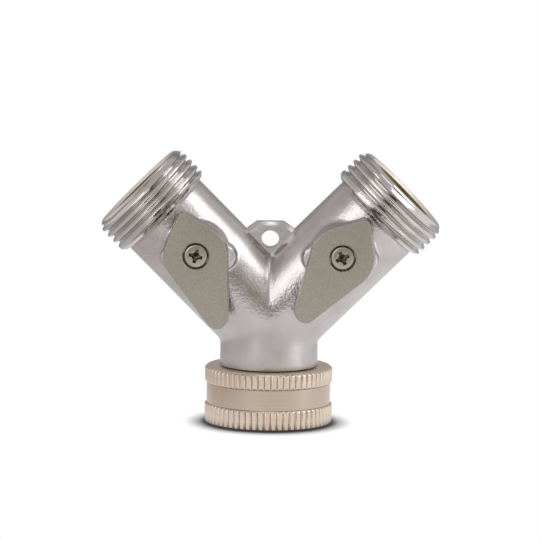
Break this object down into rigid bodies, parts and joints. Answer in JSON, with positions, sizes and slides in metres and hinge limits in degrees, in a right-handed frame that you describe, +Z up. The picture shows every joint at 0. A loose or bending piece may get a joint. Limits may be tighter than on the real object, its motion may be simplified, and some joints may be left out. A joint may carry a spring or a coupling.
{
  "type": "two-way hose connector",
  "caption": "Y-shaped plated metal hose connector with a knurled swivel inlet nut, threaded outlets, a hanging tab and a quarter-turn lever valve in each arm.",
  "frame": {"origin": "centre of the inlet nut's lower face, where the tap's thread enters", "axes": "+Z up the neck from the inlet, +X towards the right outlet as seen from the handles' side, the handles face -Y"},
  "size_m": [0.0795, 0.0317, 0.0642],
  "materials": {
    "plated_zinc": "plated die casting with a soft orange-peel skin",
    "satin_nickel": "satin nickel plate, warm tone",
    "grey_zinc": "matt grey-beige, fine grain",
    "nickel_steel": "nickel-plated steel",
    "spring_steel": "plain spring steel",
    "brass": "turned brass",
    "black_rubber": "matt black rubber",
    "white_plastic": "white seat plastic"
  },
  "bodies": {
    "connector_body": {"cast_body": "plated_zinc", "retaining_ring": "spring_steel", "left_bonnet": "brass", "left_bonnet_gasket": "black_rubber", "left_stem_seal": "black_rubber", "left_outlet_seat": "white_plastic", "left_seat_sleeve": "brass", "right_bonnet": "brass", "right_bonnet_gasket": "black_rubber", "right_stem_seal": "black_rubber", "right_outlet_seat": "white_plastic", "right_seat_sleeve": "brass"},
    "inlet_swivel": {"swivel_nut": "satin_nickel", "hose_washer": "black_rubber"},
    "left_valve": {"left_valve_plug": "brass", "left_handle": "grey_zinc", "left_handle_screw": "nickel_steel"},
    "right_valve": {"right_valve_plug": "brass", "right_handle": "grey_zinc", "right_handle_screw": "nickel_steel"}
  },
  "joints": [
    {"name": "inlet_swivel_turn", "type": "hinge", "parent": "connector_body", "child": "inlet_swivel", "pos_m": [0, 0, 0], "axis": [0, 0, 1], "continuous": true},
    {"name": "left_valve_turn", "type": "hinge", "parent": "connector_body", "child": "left_valve", "pos_m": [-0.01704, 0, 0.04144], "axis": [0, 1, 0], "range_deg": [-26.2, 63.8]},
    {"name": "right_valve_turn", "type": "hinge", "parent": "connector_body", "child": "right_valve", "pos_m": [0.01704, 0, 0.04144], "axis": [0, -1, 0], "range_deg": [-12, 78]}
  ]
}
